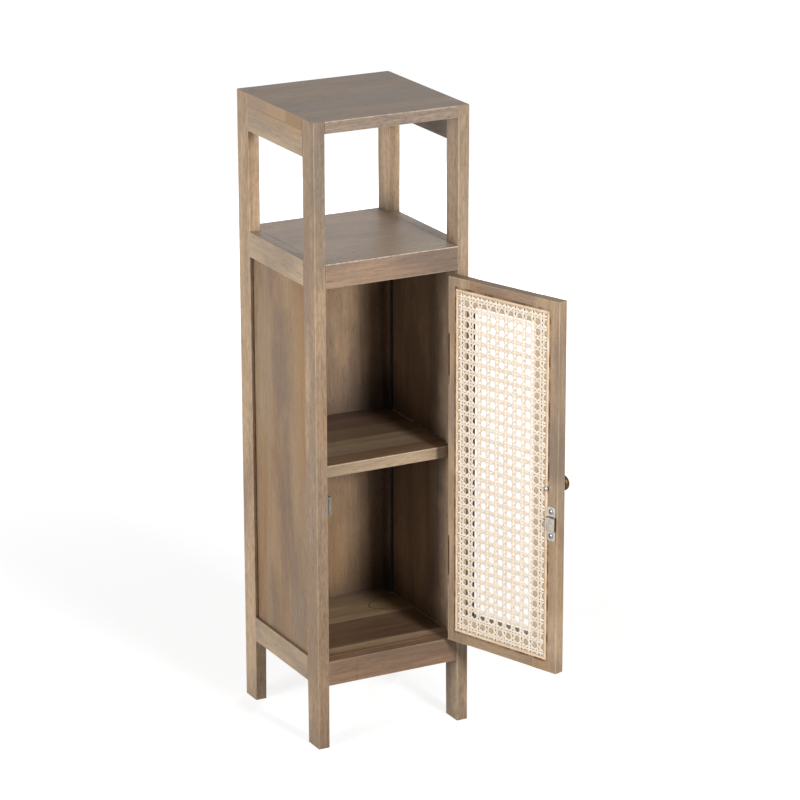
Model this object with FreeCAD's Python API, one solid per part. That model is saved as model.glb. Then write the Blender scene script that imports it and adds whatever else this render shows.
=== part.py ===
import FreeCAD, Part
import math
import os

from FreeCAD import Vector

# Tall cabinet: four posts, an open niche above and a cupboard below with a cane door.
# Millimetres. X runs across the front, Y runs back from the front at -Y, Z rises from the floor.
# The origin is on the floor under the middle of the carcase. The door stands open at rest.

# Overall size
cabinet_width = 250.0
cabinet_depth = 250.0
cabinet_height = 950.0

# Posts, which taper slightly below the bottom rails on their two inner faces
post_width = 18.0
post_depth = 36.0
leg_taper_width = 0.4
leg_taper_depth = 1.0
post_round = 1.2
post_end_round = 0.8

# Rails of the frame and the board on top of it
floor_clearance = 98.0
rail_thickness = 18.0
bottom_rail_height = 38.0
mid_rail_height = 38.0
mid_front_rail_height = 36.0
top_rail_height = 38.0
top_board_thickness = 18.0
niche_height = 190.0
rail_round = 0.8
board_round = 1.0

# Panels, which sit in grooves in the posts and rails
panel_thickness = 8.0
panel_groove_depth = 5.0
panel_clearance = 0.2

# Mortise and tenon joints of the frame
tenon_thickness = 8.0
tenon_panel_gap = 3.0
tenon_end_gap = 5.0
tenon_cover = 7.0
joint_clearance = 0.1

# Boards inside the frame and the cleats that carry them
niche_board_thickness = 18.0
bottom_board_thickness = 12.0
board_clearance = 0.2
cleat_width = 16.0
cleat_height = 16.0
cleat_end_gap = 8.0
cleat_screw_spacing = 120.0
cleat_screw_hold = 8.0
shelf_thickness = 18.0
shelf_rise = 11.0
shelf_door_gap = 2.4
shelf_housing_depth = 3.0

# Dowels between the top rails and the top board
dowel_radius = 3.0
dowel_spacing = 100.0
dowel_rail_length = 16.0
dowel_cover = 8.0
dowel_clearance = 0.05
dowel_end_gap = 0.4

# Door frame and the gaps round it
door_thickness = 16.0
door_hinge_gap = 2.0
door_free_gap = 2.5
door_end_gap = 3.5
door_open_angle = 110.0
hinge_stile_width = 39.0
free_stile_width = 46.0
door_top_rail_height = 38.0
door_bottom_rail_height = 46.0
door_tenon_length = 22.0
door_tenon_shoulder = 8.0
door_tenon_groove_gap = 0.5
door_round = 1.0

# Cane webbing on the door's inner face, held by splines in a groove
groove_hinge_margin = 15.5
groove_free_margin = 19.0
groove_top_margin = 16.5
groove_bottom_margin = 17.5
groove_width = 4.0
groove_depth = 4.5
spline_clearance = 0.1
spline_proud = 1.2
spline_round = 1.1
cane_thickness = 1.0
cane_pitch_across = 16.7
cane_pitch_up = 15.87
cane_gap_width = 8.2
cane_border = 6.0

# Butt hinges: one leaf lies on the post, the other lies in a notch across the door's edge
hinge_length = 76.0
hinge_end_distance = 125.5
hinge_leaf_thickness = 1.2
hinge_leaf_margin = 2.0
hinge_pin_radius = 1.4
hinge_pin_clearance = 0.05
hinge_pin_head_lip = 0.8
hinge_pin_head_height = 1.2
knuckle_wall = 1.25
knuckle_count = 5
knuckle_gap = 0.3
knuckle_front_gap = 0.3
hinge_notch_end_gap = 0.4
hinge_notch_end_slope = 3.0
hinge_screw_margin = 12.0
hinge_screw_length = 13.0

# Knob and its bolt
knob_base_radius = 7.0
knob_base_height = 1.5
knob_neck_radius = 4.5
knob_neck_end = 13.0
knob_head_radius = 12.0
knob_rim_height = 21.0
knob_length = 27.0
knob_flare_reach = 0.72
knob_flare_rise = 0.3
knob_bolt_radius = 2.0
knob_bolt_clearance = 0.2
knob_bolt_engagement = 10.0
knob_bolt_end_gap = 1.0
knob_bolt_head_radius = 4.0
knob_bolt_head_height = 2.4
thread_clearance = 0.05

# Magnetic catch on the post and its strike plate on the door
strike_width = 15.5
strike_length = 52.0
strike_thickness = 1.2
strike_spline_gap = 0.25
strike_bridge_length = 23.0
strike_bridge_rise = 2.8
strike_bridge_slope = 2.0
strike_corner_round = 4.0
strike_screw_margin = 7.5
strike_screw_length = 12.0
catch_width = 16.0
catch_depth = 14.5
catch_length = 28.0
catch_round = 1.0
catch_strike_gap = 0.3
catch_shelf_gap = 21.4
catch_wall = 2.0
catch_floor = 2.5
catch_ear_thickness = 2.5
catch_ear_depth = 9.0
catch_ear_reach = 9.0
catch_screw_margin = 4.0
catch_screw_length = 13.0
pole_plate_thickness = 1.5
pole_strike_cover = 0.3
magnet_setback = 1.5
pocket_clearance = 0.1

# Wood screws
screw_shank_radius = 1.5
screw_head_radius = 2.8
screw_head_height = 1.2
pan_head_radius = 4.1
pan_head_height = 2.0
pan_rim_share = 0.33
screw_tip_length = 3.0
screw_clearance = 0.05
recess_width = 0.7
recess_depth = 0.7
recess_reach = 0.6

# Places of the frame, worked out from the sizes above
half_width = cabinet_width / 2
half_depth = cabinet_depth / 2
foot_width = post_width - leg_taper_width
foot_depth = post_depth - leg_taper_depth
post_inner_x = half_width - post_width
post_inner_y = half_depth - post_depth
rail_inner_x = half_width - rail_thickness
rail_inner_y = half_depth - rail_thickness
bottom_rail_top = floor_clearance + bottom_rail_height
top_board_base = cabinet_height - top_board_thickness
top_rail_base = top_board_base - top_rail_height
niche_floor_height = top_board_base - niche_height
mid_rail_base = niche_floor_height - mid_rail_height
mid_front_rail_base = niche_floor_height - mid_front_rail_height
panel_recess = (rail_thickness - panel_thickness) / 2
panel_inner_x = half_width - panel_recess - panel_thickness
panel_inner_y = half_depth - panel_recess - panel_thickness
tenon_shoulder = panel_groove_depth + tenon_panel_gap
side_tenon_length = post_depth - (rail_thickness + tenon_thickness) / 2 - tenon_end_gap
front_tenon_length = post_width - tenon_cover
cleat_screw_length = cleat_width + cleat_screw_hold
dowel_board_length = top_board_thickness - dowel_cover

# Places of the closed door and of its hinges
door_outer_y = -half_depth
door_inner_y = door_outer_y + door_thickness
door_hinge_x = post_inner_x - door_hinge_gap
door_free_x = -post_inner_x + door_free_gap
door_base = bottom_rail_top + door_end_gap
door_top = mid_front_rail_base - door_end_gap
door_middle = (door_base + door_top) / 2
door_tenon_thickness = door_thickness - 2 * (groove_depth + door_tenon_groove_gap)
hinge_leaf_depth = door_thickness - hinge_leaf_margin
hinge_screw_spacing = hinge_length / 2 - hinge_screw_margin
hinge_pin_head_radius = hinge_pin_radius + hinge_pin_head_lip
knuckle_radius = hinge_pin_radius + hinge_pin_clearance + knuckle_wall
pivot_x = post_inner_x - knuckle_radius
pivot_y = door_outer_y - knuckle_radius - knuckle_front_gap
hinge_heights = {"upper": door_top - hinge_end_distance, "lower": door_base + hinge_end_distance}

# The groove for the splines is a rectangular ring on the door's inner face, round the cane sheet
groove_x0 = door_free_x + groove_free_margin
groove_x1 = door_hinge_x - groove_hinge_margin
groove_z0 = door_base + groove_bottom_margin
groove_z1 = door_top - groove_top_margin
groove_floor_y = door_inner_y - groove_depth
sheet_x0 = groove_x0 + groove_width
sheet_x1 = groove_x1 - groove_width
sheet_z0 = groove_z0 + groove_width
sheet_z1 = groove_z1 - groove_width
spline_top_y = door_inner_y + spline_proud
knob_x = groove_x0 + groove_width / 2
knob_bolt_hole_radius = knob_bolt_radius + knob_bolt_clearance

# The shelf is level with the knob, and its front edge clears the bolt's head when the door is closed
shelf_top_height = door_middle + shelf_rise
shelf_base_height = shelf_top_height - shelf_thickness
shelf_front_y = spline_top_y + knob_bolt_head_height + shelf_door_gap

# The catch stands on the inner face of the front left post, below the shelf, and faces the strike
catch_ear_length = catch_length + 2 * catch_ear_reach
catch_screw_spacing = catch_ear_length - 2 * catch_screw_margin
strike_screw_spacing = strike_length - 2 * strike_screw_margin
strike_height = shelf_base_height - catch_shelf_gap - catch_ear_length / 2
strike_x1 = groove_x0 - strike_spline_gap
strike_x0 = strike_x1 - strike_width
strike_x = (strike_x0 + strike_x1) / 2
strike_face_y = door_inner_y + strike_thickness + strike_bridge_rise
catch_x0 = -post_inner_x
catch_x1 = catch_x0 + catch_width
catch_front_y = strike_face_y + catch_strike_gap
catch_rear_y = catch_front_y + catch_depth
catch_ear_y = catch_front_y + catch_depth / 2
pocket_x0 = strike_x0 + pole_strike_cover
pocket_x1 = catch_x1 - catch_wall
pocket_rear_y = catch_rear_y - catch_floor
pocket_half = catch_length / 2 - catch_wall

across = Vector(1, 0, 0)
back = Vector(0, 1, 0)
upward = Vector(0, 0, 1)
origin = Vector(0, 0, 0)


def block(x0, x1, y0, y1, z0, z1):
    return Part.makeBox(x1 - x0, y1 - y0, z1 - z0, Vector(x0, y0, z0))


def edges_along(shape, direction):
    found = []
    for edge in shape.Edges:
        run = edge.Vertexes[-1].Point - edge.Vertexes[0].Point
        if run.normalize().cross(direction).Length < 1e-6:
            found.append(edge)
    return found


def eased_block(x0, x1, y0, y1, z0, z1, direction, radius):
    bar = block(x0, x1, y0, y1, z0, z1)
    return bar.makeFillet(radius, edges_along(bar, direction))


def grown(shape, amount):
    box = shape.BoundBox
    return block(
        box.XMin - amount, box.XMax + amount,
        box.YMin - amount, box.YMax + amount,
        box.ZMin - amount, box.ZMax + amount,
    )


def mirrored(shape):
    return shape.mirror(origin, across)


def prism(points, direction):
    return Part.Face(Part.makePolygon(points + points[:1])).extrude(direction)


def rod(radius, start, direction, length):
    return Part.makeCylinder(radius, length, start, direction)


def aimed(shape, place, direction):
    # Moves a shape that was drawn along +Z at the origin so that it points along a direction.
    moved = shape.copy()
    moved.Placement = FreeCAD.Placement(place, FreeCAD.Rotation(upward, direction))
    return moved


def aimed_at_each(shape, places, direction):
    return [aimed(shape, place, direction) for place in places]


def dome(radius, height, base, direction):
    # A cap of a sphere, whose flat side has the given radius and lies at the base.
    sphere_radius = (radius ** 2 + height ** 2) / (2 * height)
    ball = Part.makeSphere(sphere_radius, base + direction * (height - sphere_radius))
    return ball.common(rod(radius, base, direction, height))


# Screws are drawn with the drive direction along +Z and the seat of the head at the origin.
def cross_recess(head_radius, face_z):
    reach = head_radius * recess_reach
    half = recess_width / 2
    slot = block(-reach, reach, -half, half, face_z, face_z + recess_depth)
    return slot.fuse(block(-half, half, -reach, reach, face_z, face_z + recess_depth))


def shank(length):
    body = rod(screw_shank_radius, origin, upward, length - screw_tip_length)
    tip_start = Vector(0, 0, length - screw_tip_length)
    tip = Part.makeCone(screw_shank_radius, 0, screw_tip_length, tip_start)
    return body.fuse(tip)


def countersunk_screw(length):
    head = Part.makeCone(screw_head_radius, screw_shank_radius, screw_head_height)
    screw = shank(length).fuse(head)
    return screw.removeSplitter().cut(cross_recess(screw_head_radius, 0))


def countersunk_hole(length):
    hole_radius = screw_shank_radius + screw_clearance
    head = Part.makeCone(screw_head_radius + screw_clearance, hole_radius, screw_head_height)
    return head.fuse(rod(hole_radius, origin, upward, length + screw_clearance))


def pan_head(radius, height):
    rim = height * pan_rim_share
    crown = dome(radius, height - rim, Vector(0, 0, -rim), upward * -1)
    return rod(radius, origin, upward * -1, rim).fuse(crown).removeSplitter()


def pan_screw(length):
    screw = shank(length).fuse(pan_head(pan_head_radius, pan_head_height))
    return screw.removeSplitter().cut(cross_recess(pan_head_radius, -pan_head_height))


def pan_hole(length):
    return rod(screw_shank_radius + screw_clearance, origin, upward, length + screw_clearance)


def rail(direction, x0, x1, y0, y1, z0, z1, tenon_length):
    # A rail runs between two posts. The tenon at each end fills a mortise in the post.
    bar = eased_block(x0, x1, y0, y1, z0, z1, direction, rail_round)
    half = tenon_thickness / 2
    low = z0 + tenon_shoulder
    high = z1 - tenon_shoulder
    if direction is across:
        middle = (y0 + y1) / 2
        ends = [(x0 - tenon_length, x0), (x1, x1 + tenon_length)]
        tenons = [block(a, b, middle - half, middle + half, low, high) for a, b in ends]
    else:
        middle = (x0 + x1) / 2
        ends = [(y0 - tenon_length, y0), (y1, y1 + tenon_length)]
        tenons = [block(middle - half, middle + half, a, b, low, high) for a, b in ends]
    return bar.fuse(tenons), [grown(tenon, joint_clearance) for tenon in tenons]


def side_rail(z0, z1):
    return rail(back, -half_width, -rail_inner_x, -post_inner_y, post_inner_y, z0, z1, side_tenon_length)


def front_rail(z0, z1):
    return rail(across, -post_inner_x, post_inner_x, -half_depth, -rail_inner_y, z0, z1, front_tenon_length)


def back_rail(z0, z1):
    return rail(across, -post_inner_x, post_inner_x, rail_inner_y, half_depth, z0, z1, front_tenon_length)


def rounded_outline(x0, x1, y0, y1, z, radius):
    outline = eased_block(x0, x1, y0, y1, z, z + radius, upward, radius)
    flat = [face for face in outline.Faces if face.BoundBox.ZMax < z + radius / 2]
    return flat[0].OuterWire


def post():
    # The front left post: a straight bar above the leg, which tapers on its two inner faces.
    x1 = -half_width + post_width
    y1 = -half_depth + post_depth
    bar = eased_block(-half_width, x1, -half_depth, y1, floor_clearance, cabinet_height, upward, post_round)
    top_edges = [edge for edge in bar.Edges if edge.BoundBox.ZMin > cabinet_height - post_end_round]
    bar = bar.makeFillet(post_end_round, top_edges)
    foot_x = -half_width + foot_width
    foot_y = -half_depth + foot_depth
    foot = rounded_outline(-half_width, foot_x, -half_depth, foot_y, 0, post_round)
    knee = rounded_outline(-half_width, x1, -half_depth, y1, floor_clearance, post_round)
    leg = Part.makeLoft([foot, knee], True, True)
    return bar.fuse(leg).removeSplitter()


def top_board():
    board = block(-half_width, half_width, -half_depth, half_depth, top_board_base, cabinet_height)
    board = board.makeFillet(board_round, edges_along(board, across) + edges_along(board, back))
    notch_x = post_inner_x - joint_clearance
    notch_y = post_inner_y - joint_clearance
    notches = []
    for side in (-1, 1):
        for end in (-1, 1):
            x0, x1 = sorted((side * notch_x, side * cabinet_width))
            y0, y1 = sorted((end * notch_y, end * cabinet_depth))
            notches.append(block(x0, x1, y0, y1, top_board_base, cabinet_height))
    return board.cut(notches)


def side_panel():
    # The left panel, whose edges sit in the grooves.
    reach_y = post_inner_y + panel_groove_depth - panel_clearance
    low = bottom_rail_top - panel_groove_depth + panel_clearance
    high = mid_rail_base + panel_groove_depth - panel_clearance
    return block(-panel_inner_x - panel_thickness, -panel_inner_x, -reach_y, reach_y, low, high)


def back_panel():
    reach_x = post_inner_x + panel_groove_depth - panel_clearance
    low = bottom_rail_top - panel_groove_depth + panel_clearance
    high = mid_rail_base + panel_groove_depth - panel_clearance
    return block(-reach_x, reach_x, panel_inner_y, panel_inner_y + panel_thickness, low, high)


def inner_shelf():
    # The shelf passes between the posts, and its wider middle sits in housings in the side panels.
    front = shelf_front_y
    rear = panel_inner_y - board_clearance
    reach = panel_inner_x + shelf_housing_depth - board_clearance
    waist = post_inner_x - board_clearance
    shoulder = post_inner_y - board_clearance
    board = block(-waist, waist, front, rear, shelf_base_height, shelf_top_height)
    lengthwise = edges_along(board, across)
    front_edges = [edge for edge in lengthwise if edge.BoundBox.YMax < front + board_round]
    board = board.makeFillet(board_round, front_edges)
    middle = block(-reach, reach, -shoulder, shoulder, shelf_base_height, shelf_top_height)
    return board.fuse(middle).removeSplitter()


def inner_board(base, top):
    # A board between the rails, level with their tops.
    reach_x = min(post_inner_x, rail_inner_x) - board_clearance
    reach_y = rail_inner_y - board_clearance
    return block(-reach_x, reach_x, -reach_y, reach_y, base, top)


def cleat(board_base):
    # The left cleat under a board, against the inner face of a side rail.
    reach = rail_inner_y - cleat_end_gap
    inner = -rail_inner_x + cleat_width
    return block(-rail_inner_x, inner, -reach, reach, board_base - cleat_height, board_base)


def cleat_screw_places(board_base):
    x = -rail_inner_x + cleat_width
    z = board_base - cleat_height / 2
    return [Vector(x, end * cleat_screw_spacing / 2, z) for end in (-1, 1)]


def dowel_places():
    x = half_width - rail_thickness / 2
    return [Vector(side * x, end * dowel_spacing / 2, 0) for side in (-1, 1) for end in (-1, 1)]


def dowel(place, radius, end_gap):
    start = Vector(place.x, place.y, top_board_base - dowel_rail_length - end_gap)
    return rod(radius, start, upward, dowel_rail_length + dowel_board_length + 2 * end_gap)


def knuckle_spans(middle, first):
    # Heights of every second knuckle, with half of the running gap left at each shared end.
    pitch = hinge_length / knuckle_count
    base = middle - hinge_length / 2
    spans = []
    for index in range(first, knuckle_count, 2):
        low = base + index * pitch + (knuckle_gap / 2 if index > 0 else 0)
        high = base + (index + 1) * pitch - (knuckle_gap / 2 if index < knuckle_count - 1 else 0)
        spans.append((low, high))
    return spans


def hinge_screw_places(x, middle):
    y = door_outer_y + hinge_leaf_depth / 2
    return [Vector(x, y, middle + step * hinge_screw_spacing) for step in (-1, 0, 1)]


def hinge_leaf(middle, side, first):
    # A leaf lies against the post (side 1) or the door (side -1) and carries every second knuckle.
    outer = pivot_x + side * knuckle_radius
    inner = outer - side * hinge_leaf_thickness
    x0, x1 = sorted((outer, inner))
    half = hinge_length / 2
    plate = block(x0, x1, pivot_y, door_outer_y + hinge_leaf_depth, middle - half, middle + half)
    clear = knuckle_radius + knuckle_gap
    for low, high in knuckle_spans(middle, 1 - first):
        low -= knuckle_gap
        high += knuckle_gap
        plate = plate.cut(block(x0, x1, pivot_y - clear, pivot_y + clear, low, high))
    knuckles = [
        rod(knuckle_radius, Vector(pivot_x, pivot_y, low), upward, high - low)
        for low, high in knuckle_spans(middle, first)
    ]
    leaf = plate.fuse(knuckles)
    bore_start = Vector(pivot_x, pivot_y, middle - hinge_length)
    leaf = leaf.cut(rod(hinge_pin_radius + hinge_pin_clearance, bore_start, upward, 2 * hinge_length))
    hole = countersunk_hole(hinge_screw_length)
    holes = aimed_at_each(hole, hinge_screw_places(inner, middle), across * side)
    return leaf.cut(holes).removeSplitter()


def pin_head():
    # The domed end of a pin, drawn upwards from its seat.
    return pan_head(hinge_pin_head_radius, hinge_pin_head_height).mirror(origin, upward)


def hinge_pin(middle):
    half = hinge_length / 2
    pin = rod(hinge_pin_radius, Vector(pivot_x, pivot_y, middle - half), upward, hinge_length)
    top = aimed(pin_head(), Vector(pivot_x, pivot_y, middle + half), upward)
    bottom = aimed(pin_head(), Vector(pivot_x, pivot_y, middle - half), upward * -1)
    return pin.fuse([top, bottom]).removeSplitter()


def hinge_notch(middle):
    floor_x = pivot_x - knuckle_radius
    floor_half = hinge_length / 2 + hinge_notch_end_gap
    mouth_half = floor_half + hinge_notch_end_slope
    points = [
        Vector(floor_x, door_outer_y, middle - floor_half),
        Vector(door_hinge_x, door_outer_y, middle - mouth_half),
        Vector(door_hinge_x, door_outer_y, middle + mouth_half),
        Vector(floor_x, door_outer_y, middle + floor_half),
    ]
    return prism(points, back * door_thickness)


def door_rail(z0, z1):
    x0 = door_free_x + free_stile_width
    x1 = door_hinge_x - hinge_stile_width
    bar = eased_block(x0, x1, door_outer_y, door_inner_y, z0, z1, across, door_round)
    middle = (door_outer_y + door_inner_y) / 2
    half = door_tenon_thickness / 2
    low = z0 + door_tenon_shoulder
    high = z1 - door_tenon_shoulder
    ends = [(x0 - door_tenon_length, x0), (x1, x1 + door_tenon_length)]
    tenons = [block(a, b, middle - half, middle + half, low, high) for a, b in ends]
    return bar.fuse(tenons), [grown(tenon, joint_clearance) for tenon in tenons]


def groove_ring():
    ring = block(groove_x0, groove_x1, groove_floor_y, door_inner_y, groove_z0, groove_z1)
    return ring.cut(block(sheet_x0, sheet_x1, groove_floor_y, door_inner_y, sheet_z0, sheet_z1))


def spline(x0, x1, z0, z1, direction):
    bar = block(x0, x1, groove_floor_y, spline_top_y, z0, z1)
    crown = [edge for edge in edges_along(bar, direction) if edge.BoundBox.YMin > door_inner_y]
    return bar.makeFillet(spline_round, crown)


def splines():
    # The spline on the free side is in two lengths, which end at the knob's bolt.
    c = spline_clearance
    low, high = sheet_z0 - c, sheet_z1 + c
    free_x0, free_x1 = groove_x0 + c, sheet_x0 - c
    bolt_low = door_middle - knob_bolt_hole_radius
    bolt_high = door_middle + knob_bolt_hole_radius
    return {
        "spline_top": spline(groove_x0 + c, groove_x1 - c, high, groove_z1 - c, across),
        "spline_bottom": spline(groove_x0 + c, groove_x1 - c, groove_z0 + c, low, across),
        "spline_hinge_side": spline(sheet_x1 + c, groove_x1 - c, low, high, upward),
        "spline_free_lower": spline(free_x0, free_x1, low, bolt_low, upward),
        "spline_free_upper": spline(free_x0, free_x1, bolt_high, high, upward),
    }


def cane_gap(x, z):
    # An eight sided gap between the strands.
    reach = cane_gap_width / 2 / math.cos(math.pi / 8)
    turns = [math.pi / 8 + step * math.pi / 4 for step in range(8)]
    points = [Vector(x + reach * math.cos(a), door_inner_y, z + reach * math.sin(a)) for a in turns]
    return Part.makePolygon(points + points[:1])


def cane_webbing():
    c = spline_clearance
    x0, x1, z0, z1 = sheet_x0 + c, sheet_x1 - c, sheet_z0 + c, sheet_z1 - c
    corners = [Vector(x, door_inner_y, z) for x, z in ((x0, z0), (x1, z0), (x1, z1), (x0, z1))]
    room = 2 * cane_border + cane_gap_width
    columns = int((x1 - x0 - room) / cane_pitch_across) + 1
    rows = int((z1 - z0 - room) / cane_pitch_up) + 1
    first_x = (x0 + x1) / 2 - (columns - 1) * cane_pitch_across / 2
    first_z = (z0 + z1) / 2 - (rows - 1) * cane_pitch_up / 2
    gaps = [
        cane_gap(first_x + column * cane_pitch_across, first_z + row * cane_pitch_up)
        for column in range(columns)
        for row in range(rows)
    ]
    print("cane gaps", columns, "by", rows)
    sheet = Part.makeFace([Part.makePolygon(corners + corners[:1])] + gaps, "Part::FaceMakerBullseye")
    return sheet.extrude(back * cane_thickness)


def knob():
    # A mushroom knob on a round base, turned about the bolt's axis and drilled for the bolt.
    base_rim = Vector(knob_base_radius, 0, knob_base_height)
    neck_start = Vector(knob_neck_radius, 0, knob_base_height + knob_base_radius - knob_neck_radius)
    neck_end = Vector(knob_neck_radius, 0, knob_neck_end)
    rim = Vector(knob_head_radius, 0, knob_rim_height)
    rim_middle = Vector(0, 0, knob_rim_height)
    flare_width = knob_head_radius - knob_neck_radius
    flare_height = knob_rim_height - knob_neck_end
    under = neck_end + Vector(flare_width * knob_flare_reach, 0, flare_height * knob_flare_rise)
    outline = [origin, Vector(knob_base_radius, 0, 0), base_rim, neck_start, neck_end]
    edges = Part.makePolygon(outline).Edges
    edges.append(Part.Arc(neck_end, under, rim).toShape())
    edges += Part.makePolygon([rim, rim_middle, origin]).Edges
    turned = Part.Face(Part.Wire(edges)).revolve(origin, upward, 360)
    turned = turned.fuse(dome(knob_head_radius, knob_length - knob_rim_height, rim_middle, upward))
    bore_depth = knob_bolt_engagement + knob_bolt_end_gap
    turned = turned.cut(rod(knob_bolt_radius + thread_clearance, origin, upward, bore_depth))
    return aimed(turned, Vector(knob_x, door_outer_y, door_middle), back * -1)


def knob_bolt():
    length = spline_top_y - door_outer_y + knob_bolt_engagement
    bolt = rod(knob_bolt_radius, origin, upward, length)
    bolt = bolt.fuse(pan_head(knob_bolt_head_radius, knob_bolt_head_height)).removeSplitter()
    bolt = bolt.cut(cross_recess(knob_bolt_head_radius, -knob_bolt_head_height))
    return aimed(bolt, Vector(knob_x, spline_top_y, door_middle), back * -1)


def knob_bolt_hole():
    start = Vector(knob_x, spline_top_y, door_middle)
    return rod(knob_bolt_hole_radius, start, back * -1, spline_top_y - door_outer_y)


def strike_screw_places():
    y = door_inner_y + strike_thickness
    return [Vector(strike_x, y, strike_height + end * strike_screw_spacing / 2) for end in (-1, 1)]


def strike_plate():
    # A pressed plate whose middle stands up like a low bridge towards the catch.
    half = strike_length / 2
    foot = strike_bridge_length / 2
    head = foot - strike_bridge_slope
    rise = strike_bridge_rise
    profile = [(-half, 0), (-foot, 0), (-head, rise), (head, rise), (foot, 0), (half, 0)]
    under = [Vector(strike_x0, door_inner_y + y, strike_height + z) for z, y in profile]
    over = [point + back * strike_thickness for point in reversed(under)]
    plate = prism(under + over, across * strike_width)
    upright = edges_along(plate, back)
    ends = [edge for edge in upright if abs(edge.BoundBox.ZMin - strike_height) > foot]
    plate = plate.makeFillet(strike_corner_round, ends)
    return plate.cut(aimed_at_each(pan_hole(strike_screw_length), strike_screw_places(), back * -1))


def catch_screw_places():
    x = catch_x0 + catch_ear_thickness
    return [Vector(x, catch_ear_y, strike_height + end * catch_screw_spacing / 2) for end in (-1, 1)]


def catch_body():
    # The housing, with an ear at each end for its screws and a pocket that is open to the door.
    half = catch_length / 2
    ear_half = catch_ear_length / 2
    body = block(catch_x0, catch_x1, catch_front_y, catch_rear_y, strike_height - half, strike_height + half)
    body = body.makeFillet(catch_round, edges_along(body, across))
    ear_y0 = catch_ear_y - catch_ear_depth / 2
    ear_y1 = catch_ear_y + catch_ear_depth / 2
    ear_x1 = catch_x0 + catch_ear_thickness
    ear = block(catch_x0, ear_x1, ear_y0, ear_y1, strike_height - ear_half, strike_height + ear_half)
    ear = ear.makeFillet(strike_corner_round, edges_along(ear, across))
    low, high = strike_height - pocket_half, strike_height + pocket_half
    pocket = block(pocket_x0, pocket_x1, catch_front_y, pocket_rear_y, low, high)
    body = body.fuse(ear).removeSplitter().cut(pocket)
    return body.cut(aimed_at_each(pan_hole(catch_screw_length), catch_screw_places(), across * -1))


def pole_plates():
    low = strike_height - pocket_half + pocket_clearance
    high = strike_height + pocket_half - pocket_clearance
    left_x = pocket_x0 + pocket_clearance
    right_x = pocket_x1 - pocket_clearance
    left = block(left_x, left_x + pole_plate_thickness, catch_front_y, pocket_rear_y, low, high)
    right = block(right_x - pole_plate_thickness, right_x, catch_front_y, pocket_rear_y, low, high)
    return [left, right]


def magnet():
    inset = pocket_clearance + pole_plate_thickness
    low = strike_height - pocket_half + pocket_clearance
    high = strike_height + pocket_half - pocket_clearance
    front = catch_front_y + magnet_setback
    return block(pocket_x0 + inset, pocket_x1 - inset, front, pocket_rear_y, low, high)


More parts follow.
